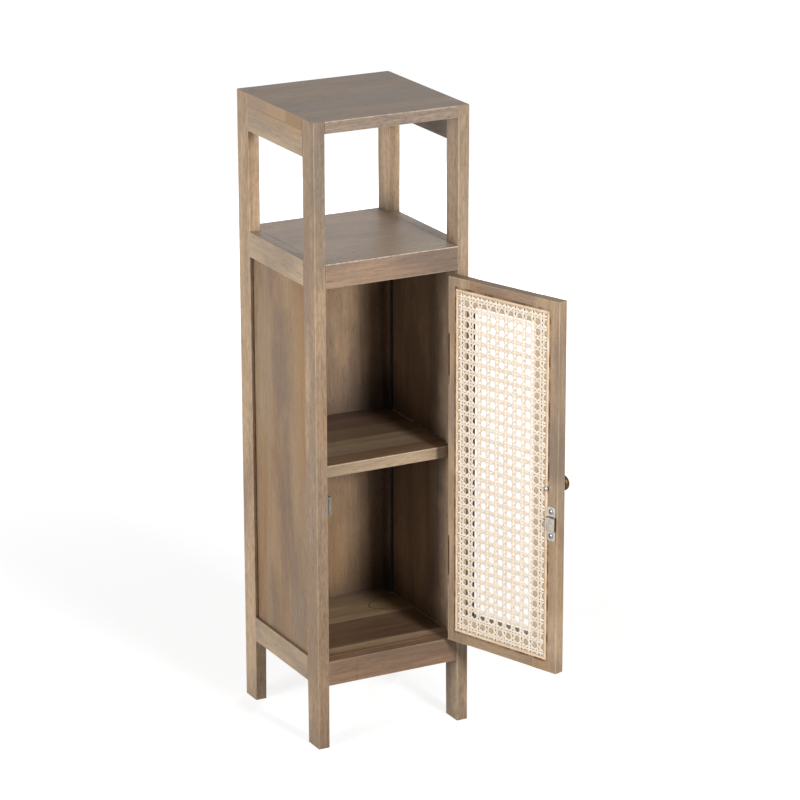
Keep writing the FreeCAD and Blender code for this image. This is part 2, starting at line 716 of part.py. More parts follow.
def build_carcase():
    bottom_base = bottom_rail_top - bottom_board_thickness
    niche_base = niche_floor_height - niche_board_thickness
    rails = {
        "top_rail_left": side_rail(top_rail_base, top_board_base),
        "mid_rail_left": side_rail(mid_rail_base, niche_floor_height),
        "bottom_rail_left": side_rail(floor_clearance, bottom_rail_top),
        "mid_rail_front": front_rail(mid_front_rail_base, niche_floor_height),
        "bottom_rail_front": front_rail(floor_clearance, bottom_rail_top),
        "mid_rail_back": back_rail(mid_rail_base, niche_floor_height),
        "bottom_rail_back": back_rail(floor_clearance, bottom_rail_top),
    }
    mortises = []
    for shape, pockets in rails.values():
        mortises += pockets
    left_panel = side_panel()
    rear_panel = back_panel()
    side_groove = grown(left_panel, panel_clearance)
    grooves = [side_groove, mirrored(side_groove), grown(rear_panel, panel_clearance)]
    pieces = {name: shape.cut(grooves) for name, (shape, pockets) in rails.items()}

    # Cleats, their screws and the dowels cut their own holes in what they enter.
    places = cleat_screw_places(niche_base) + cleat_screw_places(bottom_base)
    screws = aimed_at_each(countersunk_screw(cleat_screw_length), places, across * -1)
    holes = aimed_at_each(countersunk_hole(cleat_screw_length), places, across * -1)
    pieces["niche_cleat_left"] = cleat(niche_base).cut(holes)
    pieces["bottom_cleat_left"] = cleat(bottom_base).cut(holes)
    sockets = [dowel(place, dowel_radius + dowel_clearance, dowel_end_gap) for place in dowel_places()]
    for name in ("mid_rail_left", "bottom_rail_left"):
        pieces[name] = pieces[name].cut(holes)
    pieces["top_rail_left"] = pieces["top_rail_left"].cut(sockets)
    for name in list(pieces):
        if name.endswith("_left"):
            pieces[name.replace("_left", "_right")] = mirrored(pieces[name])
    pieces["top_board"] = top_board().cut(sockets)
    pieces["top_dowels"] = Part.makeCompound([dowel(place, dowel_radius, 0) for place in dowel_places()])
    pieces["cleat_screws"] = Part.makeCompound(screws + [mirrored(one) for one in screws])

    # Panels and boards
    shelf = inner_shelf()
    pieces["side_panel_left"] = left_panel.cut(grown(shelf, board_clearance))
    pieces["side_panel_right"] = mirrored(pieces["side_panel_left"])
    pieces["back_panel"] = rear_panel
    pieces["inner_shelf"] = shelf
    pieces["niche_shelf"] = inner_board(niche_base, niche_floor_height)
    pieces["bottom_board"] = inner_board(bottom_base, bottom_rail_top)

    # Posts, cut for every mortise, groove and screw
    cuts = mortises + [mirrored(one) for one in mortises] + grooves
    catch_places = catch_screw_places()
    cuts += aimed_at_each(pan_hole(catch_screw_length), catch_places, across * -1)
    catch_screws = aimed_at_each(pan_screw(catch_screw_length), catch_places, across * -1)
    hinge_face = pivot_x + knuckle_radius - hinge_leaf_thickness
    hinge_places = []
    for label, middle in hinge_heights.items():
        pieces["hinge_post_leaf_" + label] = hinge_leaf(middle, 1, 0)
        pieces["hinge_pin_" + label] = hinge_pin(middle)
        hinge_places += hinge_screw_places(hinge_face, middle)
    cuts += aimed_at_each(countersunk_hole(hinge_screw_length), hinge_places, across)
    hinge_screws = aimed_at_each(countersunk_screw(hinge_screw_length), hinge_places, across)
    left_front = post()
    left_back = left_front.mirror(origin, back)
    pieces["post_front_left"] = left_front.cut(cuts)
    pieces["post_back_left"] = left_back.cut(cuts)
    pieces["post_front_right"] = mirrored(left_front).cut(cuts)
    pieces["post_back_right"] = mirrored(left_back).cut(cuts)
    pieces["hinge_post_screws"] = Part.makeCompound(hinge_screws)
    pieces["catch_body"] = catch_body()
    pieces["catch_magnet"] = magnet()
    pieces["catch_pole_plates"] = Part.makeCompound(pole_plates())
    pieces["catch_screws"] = Part.makeCompound(catch_screws)
    return pieces


def build_door():
    # The door is made closed in its opening and then turned about the hinge pins.
    top_rail, top_pockets = door_rail(door_top - door_top_rail_height, door_top)
    bottom_rail, bottom_pockets = door_rail(door_base, door_base + door_bottom_rail_height)
    upright = (door_outer_y, door_inner_y, door_base, door_top, upward, door_round)
    hinge_stile = eased_block(door_hinge_x - hinge_stile_width, door_hinge_x, *upright)
    free_stile = eased_block(door_free_x, door_free_x + free_stile_width, *upright)
    ring = groove_ring()
    cuts = top_pockets + bottom_pockets + [ring, knob_bolt_hole()]

    hinge_face = pivot_x - knuckle_radius + hinge_leaf_thickness
    hinge_places = []
    pieces = {}
    for label, middle in hinge_heights.items():
        pieces["hinge_door_leaf_" + label] = hinge_leaf(middle, -1, 1)
        cuts.append(hinge_notch(middle))
        hinge_places += hinge_screw_places(hinge_face, middle)
    cuts += aimed_at_each(countersunk_hole(hinge_screw_length), hinge_places, across * -1)
    hinge_screws = aimed_at_each(countersunk_screw(hinge_screw_length), hinge_places, across * -1)
    strike_places = strike_screw_places()
    cuts += aimed_at_each(pan_hole(strike_screw_length), strike_places, back * -1)
    strike_screws = aimed_at_each(pan_screw(strike_screw_length), strike_places, back * -1)

    pieces["door_stile_hinge"] = hinge_stile.cut(cuts)
    pieces["door_stile_free"] = free_stile.cut(cuts)
    pieces["door_rail_top"] = top_rail.cut(ring)
    pieces["door_rail_bottom"] = bottom_rail.cut(ring)
    pieces["hinge_door_screws"] = Part.makeCompound(hinge_screws)
    pieces["strike_screws"] = Part.makeCompound(strike_screws)
    pieces["strike_plate"] = strike_plate()
    pieces["cane_webbing"] = cane_webbing()
    pieces["knob"] = knob()
    pieces["knob_bolt"] = knob_bolt()
    pieces.update(splines())
    for name, shape in pieces.items():
        turned = shape.copy()
        turned.rotate(Vector(pivot_x, pivot_y, 0), upward, door_open_angle)
        pieces[name] = turned
    return pieces


os.makedirs("parts", exist_ok=True)
for name, shape in {**build_carcase(), **build_door()}.items():
    shape.exportStep("parts/" + name + ".step")
    print(name, len(shape.Solids), round(shape.Volume, 1), shape.isValid())
print("door pivot", pivot_x, pivot_y)
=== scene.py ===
import math

import bpy
from mathutils import Matrix, Vector


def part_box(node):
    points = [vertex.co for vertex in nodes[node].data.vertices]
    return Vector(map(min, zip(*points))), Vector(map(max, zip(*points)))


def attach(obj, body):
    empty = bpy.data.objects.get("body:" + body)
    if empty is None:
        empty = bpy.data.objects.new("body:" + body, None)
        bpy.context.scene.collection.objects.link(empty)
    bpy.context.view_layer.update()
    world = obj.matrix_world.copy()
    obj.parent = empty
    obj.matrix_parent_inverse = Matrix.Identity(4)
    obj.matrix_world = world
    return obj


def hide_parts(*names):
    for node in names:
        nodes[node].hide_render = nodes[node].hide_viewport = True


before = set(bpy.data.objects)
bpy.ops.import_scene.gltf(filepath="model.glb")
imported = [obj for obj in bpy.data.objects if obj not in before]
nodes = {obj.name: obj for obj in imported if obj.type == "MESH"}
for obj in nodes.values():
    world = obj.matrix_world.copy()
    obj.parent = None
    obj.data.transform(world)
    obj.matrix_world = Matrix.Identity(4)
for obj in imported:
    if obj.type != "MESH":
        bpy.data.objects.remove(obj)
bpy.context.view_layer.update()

scene = bpy.context.scene
scene.view_settings.view_transform = "Standard"
print("cabinet loaded,", len(nodes), "pieces")

# how the door stands, in metres: its pivot and the angle it is open by, and where its inner face, the cane
# and the groove round the cane lie when it is shut
door = {
    "pivot": (0.1043, -0.1280),
    "openAngle": math.radians(110),
    "innerFace": -0.1090, "faceBand": (0.0007, 0.0003),  # how near the face its finish begins and is full
    "caneLeft": -0.0815, "caneRight": 0.0855, "caneLow": 0.1610, "caneHigh": 0.6820,
    "grooveLeft": -0.0855, "grooveRight": 0.0895, "grooveLow": 0.1570, "grooveHigh": 0.6860,
}
swing = Matrix.Translation((door["pivot"][0], door["pivot"][1], 0))
swing = swing @ Matrix.Rotation(door["openAngle"], 4, "Z") @ swing.inverted()


# camera
lens = {
    "place": (-2.2781, -4.4671, 2.1011),
    "yaw": 27.802, "pitch": 17.823, "roll": -0.127,           # degrees
    "focalPixels": 3550.6, "imagePixels": 800, "sensor": 36,  # sensor in millimetres
    "farthest": 60,
}


def aimCamera():
    yaw, pitch, roll = (math.radians(lens[k]) for k in ("yaw", "pitch", "roll"))
    ahead = Vector((math.sin(yaw) * math.cos(pitch), math.cos(yaw) * math.cos(pitch), -math.sin(pitch)))
    right = Vector((math.cos(yaw), -math.sin(yaw), 0))
    up = right.cross(ahead)
    tiltedRight = right * math.cos(roll) + up * math.sin(roll)
    tiltedUp = up * math.cos(roll) - right * math.sin(roll)
    camera = bpy.data.objects.new("camera", bpy.data.cameras.new("camera"))
    scene.collection.objects.link(camera)
    axes = Matrix((tiltedRight, tiltedUp, -ahead)).transposed().to_4x4()
    camera.matrix_world = Matrix.Translation(lens["place"]) @ axes
    camera.data.sensor_width = lens["sensor"]
    camera.data.lens = lens["focalPixels"] / lens["imagePixels"] * lens["sensor"]
    camera.data.clip_end = lens["farthest"]
    scene.camera = camera


aimCamera()


# small helpers for the node trees
def put(tree, kind, feeds=None, **settings):
    made = tree.nodes.new(kind)
    for key, value in settings.items():
        setattr(made, key, value)
    for key, value in (feeds or {}).items():
        if isinstance(value, bpy.types.NodeSocket):
            tree.links.new(value, made.inputs[key])
        else:
            made.inputs[key].default_value = value
    return made


def paint(code):  # a colour written as six hex digits
    levels = [int(code[i:i + 2], 16) / 255 for i in (0, 2, 4)]
    return tuple(v / 12.92 if v <= 0.04045 else ((v + 0.055) / 1.055) ** 2.4 for v in levels) + (1,)


def noise(tree, place, scale, detail=4.0, rough=0.55, bend=0.0):
    return put(tree, "ShaderNodeTexNoise", {
        "Vector": place, "Scale": scale, "Detail": detail, "Roughness": rough, "Distortion": bend,
    }).outputs[0]


def spread(tree, value, low, high, newLow=0.0, newHigh=1.0, smooth=True):
    return put(tree, "ShaderNodeMapRange", {
        "Value": value, "From Min": low, "From Max": high, "To Min": newLow, "To Max": newHigh,
    }, interpolation_type="SMOOTHSTEP" if smooth else "LINEAR").outputs[0]


def sums(tree, kind, first, second=0.0):
    return put(tree, "ShaderNodeMath", {0: first, 1: second}, operation=kind).outputs[0]


def plus(tree, first, second):
    return sums(tree, "ADD", first, second)


def minus(tree, first, second):
    return sums(tree, "SUBTRACT", first, second)


def times(tree, first, second):
    return sums(tree, "MULTIPLY", first, second)


def larger(tree, first, second):
    return sums(tree, "MAXIMUM", first, second)


def awayFrom(tree, value, middle):
    return sums(tree, "ABSOLUTE", minus(tree, value, middle))


def offBy(tree, value, middle, reach):  # squared, in reaches
    away = sums(tree, "DIVIDE", minus(tree, value, middle), reach)
    return times(tree, away, away)


def wandering(tree, place, reach, scale, detail, rough):
    return times(tree, minus(tree, noise(tree, place, scale, detail, rough), 0.5), reach)


def broken(tree, place, scale, low, high, least=0.0, most=1.0):  # a line that comes and goes
    return spread(tree, noise(tree, place, scale, 3, 0.6), low, high, least, most)


def blendColours(tree, share, first, second, how="MIX"):
    feeds = {0: share, 6: first, 7: second}
    return put(tree, "ShaderNodeMix", feeds, data_type="RGBA", blend_type=how).outputs[2]


def stretched(tree, place, scale, start=(0, 0, 0)):
    return put(tree, "ShaderNodeMapping", {"Vector": place, "Scale": scale, "Location": start}).outputs[0]


def objectPlace(tree):
    return put(tree, "ShaderNodeTexCoord").outputs["Object"]


def turnedPlace(tree):  # the grain of the door turns with it
    return put(tree, "ShaderNodeMapping", {
        "Vector": objectPlace(tree), "Rotation": (0, 0, -door["openAngle"])}).outputs[0]


def shutPlace(tree):  # where a point of the door lies when it is shut
    pivot = Vector((door["pivot"][0], door["pivot"][1], 0))
    shift = pivot - Matrix.Rotation(-door["openAngle"], 3, "Z") @ pivot
    return put(tree, "ShaderNodeMapping", {
        "Vector": objectPlace(tree), "Rotation": (0, 0, -door["openAngle"]), "Location": shift}).outputs[0]


def splitAxes(tree, place):
    return put(tree, "ShaderNodeSeparateXYZ", {0: place}).outputs


def freshMaterial(name):
    material = bpy.data.materials.new(name)
    material.use_nodes = True
    tree = material.node_tree
    tree.nodes.clear()
    shader = put(tree, "ShaderNodeBsdfPrincipled")
    end = put(tree, "ShaderNodeOutputMaterial", {"Surface": shader.outputs[0]})
    end.is_active_output = True
    return material, tree, shader


def relief(tree, shader, height, depth, strength):
    bump = put(tree, "ShaderNodeBump", {"Height": height, "Distance": depth, "Strength": strength})
    tree.links.new(bump.outputs[0], shader.inputs["Normal"])


noiseSpan = (0.3, 0.7)  # most of a noise lies between these
masks = {
    "samples": 4,
    "edge": (0.995, 0.90),   # how near the rounded normal is to the plain one, on a flat and on an arris
    "corner": (0.75, 0.25),  # how open the surface lies, where a corner begins and deep in it
}


def openness(tree, reach):
    around = put(tree, "ShaderNodeAmbientOcclusion", {"Distance": reach}, samples=masks["samples"])
    return around.outputs["AO"]


def edgeMask(tree, reach):  # near 1 on arrises and corners, 0 on the flats
    rounded = put(tree, "ShaderNodeBevel", {"Radius": reach}, samples=masks["samples"]).outputs[0]
    plain = put(tree, "ShaderNodeNewGeometry").outputs["Normal"]
    along = put(tree, "ShaderNodeVectorMath", {0: rounded, 1: plain}, operation="DOT_PRODUCT")
    return spread(tree, along.outputs["Value"], *masks["edge"])


def cornerMask(tree, reach):  # near 1 in tight inner corners
    return spread(tree, openness(tree, reach), *masks["corner"])


# washed timber: smoky and warm clouds along the grain, streaks, fibres, pores, blotches and small knots.
# drawn is how much of its scale a mark keeps along the grain
grainLayers = {
    "smoke": {"drawn": 0.26, "scale": 13.0, "detail": 6, "rough": 0.60, "bend": 0.6},
    "warmth": {"drawn": 0.18, "scale": 12.0, "detail": 5, "rough": 0.56, "bend": 0.5},
    "streaks": {"drawn": 0.05, "scale": 120.0, "detail": 6, "rough": 0.62, "bend": 0.3},
    "fibres": {"drawn": 0.016, "scale": 620.0, "detail": 3, "rough": 0.6, "bend": 0.0},
    "pores": {"drawn": 0.07, "scale": 900.0, "detail": 2, "rough": 0.5, "bend": 0.0},
    "blotches": {"drawn": 0.30, "scale": 240.0, "detail": 4, "rough": 0.62, "bend": 0.5},
}
timber = {
    "layerStep": 7.3,  # shifts each layer of marks against the last
    "speckScale": 1000.0, "speckDetail": 2, "speckRough": 0.6,
    "ringDetail": 2.0, "ringDetailScale": 0.8, "ringRough": 0.5,
    "smokeRange": (0.40, 0.62), "warmRange": (0.45, 0.68),
    "poreRange": (0.58, 0.74), "poreColour": "5a4331",
    "knotDrawn": 0.38, "knotScale": 8.5, "knotRange": (0.085, 0.03), "knotColour": "634833",
    "boardShare": 0.75,
    "stainWander": 1.4, "stainScale": 22,
    # painted shade: timber darkens where its surroundings close over it, within this reach
    "paintedShadeReach": 0.09, "paintedShadeStart": 0.80, "paintedShadeColour": "241e1b",
    "edgeReach": 0.0020, "edgeStreaks": (0.34, 0.60), "edgeLeast": 0.4, "edgeColour": "d6c1a3",
    "edgeInPaintedShade": 0.6,  # an arris this deep in the painted shade gets no pale edge
    "cornerReach": 0.006,
    "poreDepth": 1.5, "reliefDepth": 0.0005, "reliefStrength": 0.20,
}
shadeMarks = ("streaks", "fibres", "rings", "specks", "blotches")
# what a board has where its own look doesn't say
plainLook = {
    "level": 1.0, "smoke": 1.0, "warm": 0.8,
    "streaks": 0.6, "fibres": 0.6, "rings": 0.05, "specks": 0.75, "blotches": 0.3,
    "bands": 13.0, "bend": 11.0,
    "pores": 0.6, "knots": 0.35,
    "paintedShade": 0.6, "deep": 0.20, "edge": 0.8, "grimeAndShade": 0.5, "grimeAndShadeColour": "35281e",
    "gloss": (0.44, 0.58), "shine": 0.4,
    "onDoor": False, "boards": (), "stains": (), "lines": (),
}


def drawnOut(grain, share):
    return tuple(share if axis == grain else 1.0 for axis in "xyz")


def knots(tree, place, look):
    drawn = stretched(tree, place, drawnOut(look["grain"], timber["knotDrawn"]), look["start"])
    cells = put(tree, "ShaderNodeTexVoronoi", {"Vector": drawn, "Scale": timber["knotScale"]}).outputs[0]
    return spread(tree, cells, *timber["knotRange"])


def grainMarks(tree, place, look):
    places, marks, start = {}, {}, look["start"]
    for kind, layer in grainLayers.items():
        places[kind] = stretched(tree, place, drawnOut(look["grain"], layer["drawn"]), start)
        marks[kind] = noise(
            tree, places[kind], layer["scale"], layer["detail"], layer["rough"], layer["bend"])
        start = tuple(v + timber["layerStep"] for v in start)
    marks["specks"] = noise(tree, place, timber["speckScale"], timber["speckDetail"], timber["speckRough"])
    marks["rings"] = put(tree, "ShaderNodeTexWave", {
        "Vector": places["streaks"], "Scale": look["bands"], "Distortion": look["bend"],
        "Detail": timber["ringDetail"], "Detail Scale": timber["ringDetailScale"],
        "Detail Roughness": timber["ringRough"],
    }, wave_type="BANDS", bands_direction="DIAGONAL", wave_profile="SAW").outputs[1]
    return marks


def shadedTone(tree, colour, marks, look):
    shade = look["level"]
    for kind in shadeMarks:
        shade = plus(tree, times(tree, minus(tree, marks[kind], 0.5), look[kind]), shade)
    return blendColours(tree, 1.0, colour, shade, "MULTIPLY")


def boardTones(tree, along, boards):  # glued boards side by side: where each begins, and its tone
    low, high = boards[0][0], -boards[0][0]
    ramp = put(tree, "ShaderNodeValToRGB", {0: spread(tree, along, low, high, smooth=False)})
    ramp.color_ramp.interpolation = "CONSTANT"
    stops = ramp.color_ramp.elements
    stops.remove(stops[1])
    stops[0].position = 0
    stops[0].color = paint(boards[0][1])
    for begin, code in boards[1:]:
        stops.new((begin - low) / (high - low)).color = paint(code)
    return ramp.outputs[0]


def stained(tree, colour, stains):  # clouds of stain with wandering borders
    place = objectPlace(tree)
    axes = splitAxes(tree, place)
    wander = wandering(tree, place, timber["stainWander"], timber["stainScale"], detail=2, rough=0.5)
    for (first, second), middle, reach, code, share in stains:
        far = plus(tree, offBy(tree, axes[first], middle[0], reach[0]),
                   offBy(tree, axes[second], middle[1], reach[1]))
        inside = spread(tree, plus(tree, far, wander), 1.0, 0.0, 0.0, share)
        colour = blendColours(tree, inside, colour, paint(code))
    return colour


def washedTone(tree, marks, look):
    smoke = spread(tree, marks["smoke"], *timber["smokeRange"], 0.0, look["smoke"])
    colour = blendColours(tree, smoke, paint(look["tan"]), paint(look["grey"]))
    warmth = spread(tree, marks["warmth"], *timber["warmRange"], 0.0, look["warm"])
    colour = blendColours(tree, warmth, colour, paint(look["brown"]))
    if look["boards"]:
        tones = boardTones(tree, splitAxes(tree, objectPlace(tree))["Y"], look["boards"])
        colour = blendColours(tree, timber["boardShare"], colour, tones)
    if look["stains"]:
        colour = stained(tree, colour, look["stains"])
    return shadedTone(tree, colour, marks, look)


def agedTone(tree, colour, marks, look):  # painted shade where sheltered, arrises pale from wear and painted highlight, dirt and painted shade in corners
    # painted shade, darker where little is open around the surface
    paintedShade = spread(tree, openness(tree, timber["paintedShadeReach"]), timber["paintedShadeStart"], look["deep"])
    paintedShadeShare = times(tree, paintedShade, look["paintedShade"])
    colour = blendColours(tree, paintedShadeShare, colour, paint(timber["paintedShadeColour"]))
    # pale arrises: partly wear, partly a painted highlight where a rounded edge catches light
    least = look["edge"] * timber["edgeLeast"]
    paleness = spread(tree, marks["streaks"], *timber["edgeStreaks"], least, look["edge"])
    wornAndLit = times(tree, edgeMask(tree, timber["edgeReach"]), paleness)
    wornAndLit = times(tree, wornAndLit, spread(tree, paintedShade, 0.0, timber["edgeInPaintedShade"], 1.0, 0.0))
    colour = blendColours(tree, wornAndLit, colour, paint(timber["edgeColour"]))
    # dirt and painted shade in tight corners, where less light reaches
    grimeAndShade = times(tree, cornerMask(tree, timber["cornerReach"]), look["grimeAndShade"])
    return blendColours(tree, grimeAndShade, colour, paint(look["grimeAndShadeColour"]))


def washedTimber(name, look):
    material, tree, shader = freshMaterial(name)
    place = turnedPlace(tree) if look["onDoor"] else objectPlace(tree)
    marks = grainMarks(tree, place, look)
    colour = washedTone(tree, marks, look)
    poreShare = spread(tree, marks["pores"], *timber["poreRange"], 0.0, look["pores"])
    colour = blendColours(tree, poreShare, colour, paint(timber["poreColour"]))
    knotShare = times(tree, knots(tree, place, look), look["knots"])
    colour = blendColours(tree, knotShare, colour, paint(timber["knotColour"]))
    colour = agedTone(tree, colour, marks, look)
    for line in look["lines"]:
        colour = line(tree, colour)
    tree.links.new(colour, shader.inputs["Base Color"])
    tree.links.new(spread(tree, marks["streaks"], *noiseSpan, *look["gloss"]), shader.inputs["Roughness"])
    shader.inputs["Specular IOR Level"].default_value = look["shine"]
    height = minus(tree, marks["streaks"], times(tree, poreShare, timber["poreDepth"]))
    relief(tree, shader, height, timber["reliefDepth"], timber["reliefStrength"])
    return material


# marks that only one piece or a few have, in metres: edge, face and ends are where a mark begins and is
# full, breaks is the noise at which a broken line begins and is full, then the least and the most of it
panelGap = {"edge": (0.0866, 0.0873), "ragged": 0.0016, "scale": 240, "share": 0.92, "colour": "231911"}


def shrunkGap(tree, colour):  # ragged dark gap where the side panel has drawn away from the back post
    place = objectPlace(tree)
    ragged = wandering(tree, place, panelGap["ragged"], panelGap["scale"], detail=3, rough=0.7)
    gap = spread(tree, plus(tree, splitAxes(tree, place)["Y"], ragged), *panelGap["edge"])
    return blendColours(tree, times(tree, gap, panelGap["share"]), colour, paint(panelGap["colour"]))


glue = {"edge": (0.1102, 0.1106), "scale": 70, "breaks": (0.42, 0.56), "share": 0.8, "colour": "c9b9a2"}


def glueLine(tree, colour):  # pale glue along a shelf's back and side joints
    place = objectPlace(tree)
    axes = splitAxes(tree, place)
    seam = larger(tree, spread(tree, axes["Y"], *glue["edge"]), spread(tree, axes["X"], *glue["edge"]))
    seam = times(tree, seam, broken(tree, place, glue["scale"], *glue["breaks"]))
    return blendColours(tree, times(tree, seam, glue["share"]), colour, paint(glue["colour"]))


eye = {
    "middle": (0.103, 0.046), "reach": (0.052, 0.030), "wander": 0.9, "scale": 40,
    "ring": (0.10, 0.03), "share": 0.6, "colour": "2a1d14",  # ring in squared reaches
}


def grainEye(tree, colour):  # one dark ring of figure near the right of the cupboard floor
    place = objectPlace(tree)
    axes = splitAxes(tree, place)
    far = plus(tree, offBy(tree, axes["X"], eye["middle"][0], eye["reach"][0]),
               offBy(tree, axes["Y"], eye["middle"][1], eye["reach"][1]))
    far = plus(tree, far, wandering(tree, place, eye["wander"], eye["scale"], detail=3, rough=0.6))
    ring = spread(tree, awayFrom(tree, far, 1.0), *eye["ring"], 0.0, eye["share"])
    return blendColours(tree, ring, colour, paint(eye["colour"]))


arris = {
    "edge": (0.0018, 0.0008),  # measured down from the top
    "scale": 150, "breaks": (0.36, 0.60, 0.25), "share": 0.85, "colour": "e2d3bc",
}


def arrisHighlight(node):  # a painted highlight along the upper front arris of a piece
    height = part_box(node)[1].z
    begin, full = (height - below for below in arris["edge"])

    def lay(tree, colour):
        place = objectPlace(tree)
        paleness = spread(tree, splitAxes(tree, place)["Z"], begin, full)
        paleness = times(tree, paleness, broken(tree, place, arris["scale"], *arris["breaks"]))
        return blendColours(tree, times(tree, paleness, arris["share"]), colour, paint(arris["colour"]))
    return lay


lengthJoint = {"place": -0.0614, "edge": (0.0010, 0.0003), "share": 0.4, "colour": "5b4534"}


def railJoint(tree, colour):  # the front rail under the door is joined from two lengths
    away = awayFrom(tree, splitAxes(tree, objectPlace(tree))["X"], lengthJoint["place"])
    seam = spread(tree, away, *lengthJoint["edge"], 0.0, lengthJoint["share"])
    return blendColours(tree, seam, colour, paint(lengthJoint["colour"]))


def onInside(tree, axes):
    begin, full = (door["innerFace"] - below for below in door["faceBand"])
    return spread(tree, axes["Y"], begin, full)


rawWood = {"edge": (-0.002, -0.004), "share": 0.6, "cornerReach": 0.003, "colour": "d8c3a6"}
reedDirt = {"edge": (0.0042, 0.0020), "scale": 55, "breaks": (0.40, 0.60, 0.20, 0.95), "colour": "4a3525"}


def grooveLine(tree, colour):  # raw wood under the cane, and dirt along the outside of the reed
    place = shutPlace(tree)
    axes = splitAxes(tree, place)
    inside = onInside(tree, axes)
    right, left = minus(tree, axes["X"], door["grooveRight"]), minus(tree, door["grooveLeft"], axes["X"])
    above, below = minus(tree, axes["Z"], door["grooveHigh"]), minus(tree, door["grooveLow"], axes["Z"])
    out = larger(tree, larger(tree, right, left), larger(tree, above, below))
    raw = times(tree, spread(tree, out, *rawWood["edge"], 0.0, rawWood["share"]), inside)
    # the pale raw wood is held back from tight gaps under the cane, so they keep painted shade
    raw = times(tree, raw, minus(tree, 1.0, cornerMask(tree, rawWood["cornerReach"])))
    colour = blendColours(tree, raw, colour, paint(rawWood["colour"]))
    dirt = spread(tree, sums(tree, "ABSOLUTE", out), *reedDirt["edge"])
    dirt = times(tree, dirt, broken(tree, place, reedDirt["scale"], *reedDirt["breaks"]))
    return blendColours(tree, times(tree, dirt, inside), colour, paint(reedDirt["colour"]))


rim = {"edge": (0.0702, 0.0690), "middle": 0.425, "ends": (0.240, 0.238), "share": 0.85, "colour": "44301d"}


def rimShade(tree, colour):  # painted shade on the hinge stile along the edge of the opening
    axes = splitAxes(tree, shutPlace(tree))
    dark = times(tree, spread(tree, axes["X"], *rim["edge"]), onInside(tree, axes))
    away = awayFrom(tree, axes["Z"], rim["middle"])
    dark = times(tree, dark, spread(tree, away, *rim["ends"], 0.0, rim["share"]))
    return blendColours(tree, dark, colour, paint(rim["colour"]))


boltHole = {
    "place": (-0.0912, 0.4240), "radius": 0.0012, "edge": (1.3, 0.7),  # edge in squared radii
    "share": 0.75, "colour": "d0ab98",
}


def filledHole(tree, colour):  # a small hole beside the knob's bolt, stopped with pale filler
    axes = splitAxes(tree, shutPlace(tree))
    far = plus(tree, offBy(tree, axes["X"], boltHole["place"][0], boltHole["radius"]),
               offBy(tree, axes["Z"], boltHole["place"][1], boltHole["radius"]))
    filler = times(tree, spread(tree, far, *boltHole["edge"], 0.0, boltHole["share"]), onInside(tree, axes))
    return blendColours(tree, filler, colour, paint(boltHole["colour"]))


hingeGap = {
    "depth": -0.0985, "edge": (0.0026, 0.0012), "face": (0.1082, 0.1076),
    "middles": (0.573, 0.261), "ends": (0.036, 0.033), "share": 0.8, "colour": "241b15",
}


def hingeShade(tree, colour):  # painted shade on the post in the gap beside each hinge
    axes = splitAxes(tree, objectPlace(tree))
    gap = spread(tree, awayFrom(tree, axes["Y"], hingeGap["depth"]), *hingeGap["edge"])
    gap = times(tree, gap, spread(tree, axes["X"], *hingeGap["face"]))
    beside = 0.0
    for middle in hingeGap["middles"]:
        away = awayFrom(tree, axes["Z"], middle)
        beside = larger(tree, spread(tree, away, *hingeGap["ends"], 0.0, hingeGap["share"]), beside)
    return blendColours(tree, times(tree, gap, beside), colour, paint(hingeGap["colour"]))


darkPost = {
    "face": (0.0905, 0.0895), "middle": 0.420, "ends": (0.284, 0.282), "share": 0.92, "colour": "121012",
}


def cornerShade(tree, colour):  # painted shade on the back post's front face inside the cupboard
    axes = splitAxes(tree, objectPlace(tree))
    away = awayFrom(tree, axes["Z"], darkPost["middle"])
    inside = times(tree, spread(tree, axes["Y"], *darkPost["face"]), spread(tree, away, *darkPost["ends"]))
    return blendColours(tree, times(tree, inside, darkPost["share"]), colour, paint(darkPost["colour"]))


# one look for each kind of board
looks = {
    "post": {"tan": "b59a7c", "grey": "937c66", "brown": "a07f5c", "warm": 0.65, "edge": 0.45,
             "blotches": 1.1, "grimeAndShade": 0.25},
    "frontRail": {"tan": "a5886f", "grey": "897464", "brown": "997257", "warm": 0.6},
    "sideRail": {"tan": "b9a184", "grey": "9a8773", "brown": "a5825d", "knots": 0.5},
    "top": {"tan": "b5987c", "grey": "9f8a78", "brown": "a0835f", "level": 1.05, "blotches": 0.6,
            "smoke": 0.9, "warm": 0.35, "grimeAndShade": 0.15, "gloss": (0.40, 0.52), "shine": 0.5, "knots": 0.15},
    # the niche's pale grey is partly the wood's colour and partly a painted sheen
    "niche": {"tan": "cfbaa4", "grey": "b9a99d", "brown": "bda285", "smoke": 0.9, "warm": 0.3,
              "grimeAndShade": 0.12, "gloss": (0.36, 0.48), "shine": 0.5, "knots": 0.1},
    "panel": {"tan": "a08362", "grey": "826a54", "brown": "946b42", "warm": 0.9, "rings": 0.06,
              "paintedShade": 0.75, "level": 0.92, "blotches": 0.5},
    "backPanel": {"tan": "ab8f70", "grey": "8d755f", "brown": "967450", "rings": 0.22, "bend": 15.0,
                  "bands": 10.0, "paintedShade": 0.9, "deep": 0.35, "edge": 0.1},
    "inside": {"tan": "ad9579", "grey": "78655a", "brown": "745942", "rings": 0.3, "streaks": 0.9,
               "smoke": 1.0, "warm": 0.9, "paintedShade": 0.75, "lines": (glueLine,)},
    # the door frame's strong dark corner colour is dirt and painted shade, darkest in the tight gaps under
    # the cane
    "doorFrame": {"tan": "b09475", "grey": "8d7965", "brown": "9d764f", "grimeAndShade": 1.0,
                  "grimeAndShadeColour": "3a1e0c", "lines": (grooveLine,)},
    "hidden": {"tan": "b49876", "grey": "a28a70", "brown": "a67f55", "rings": 0.12, "edge": 0.2,
               "grimeAndShade": 0.3},
}
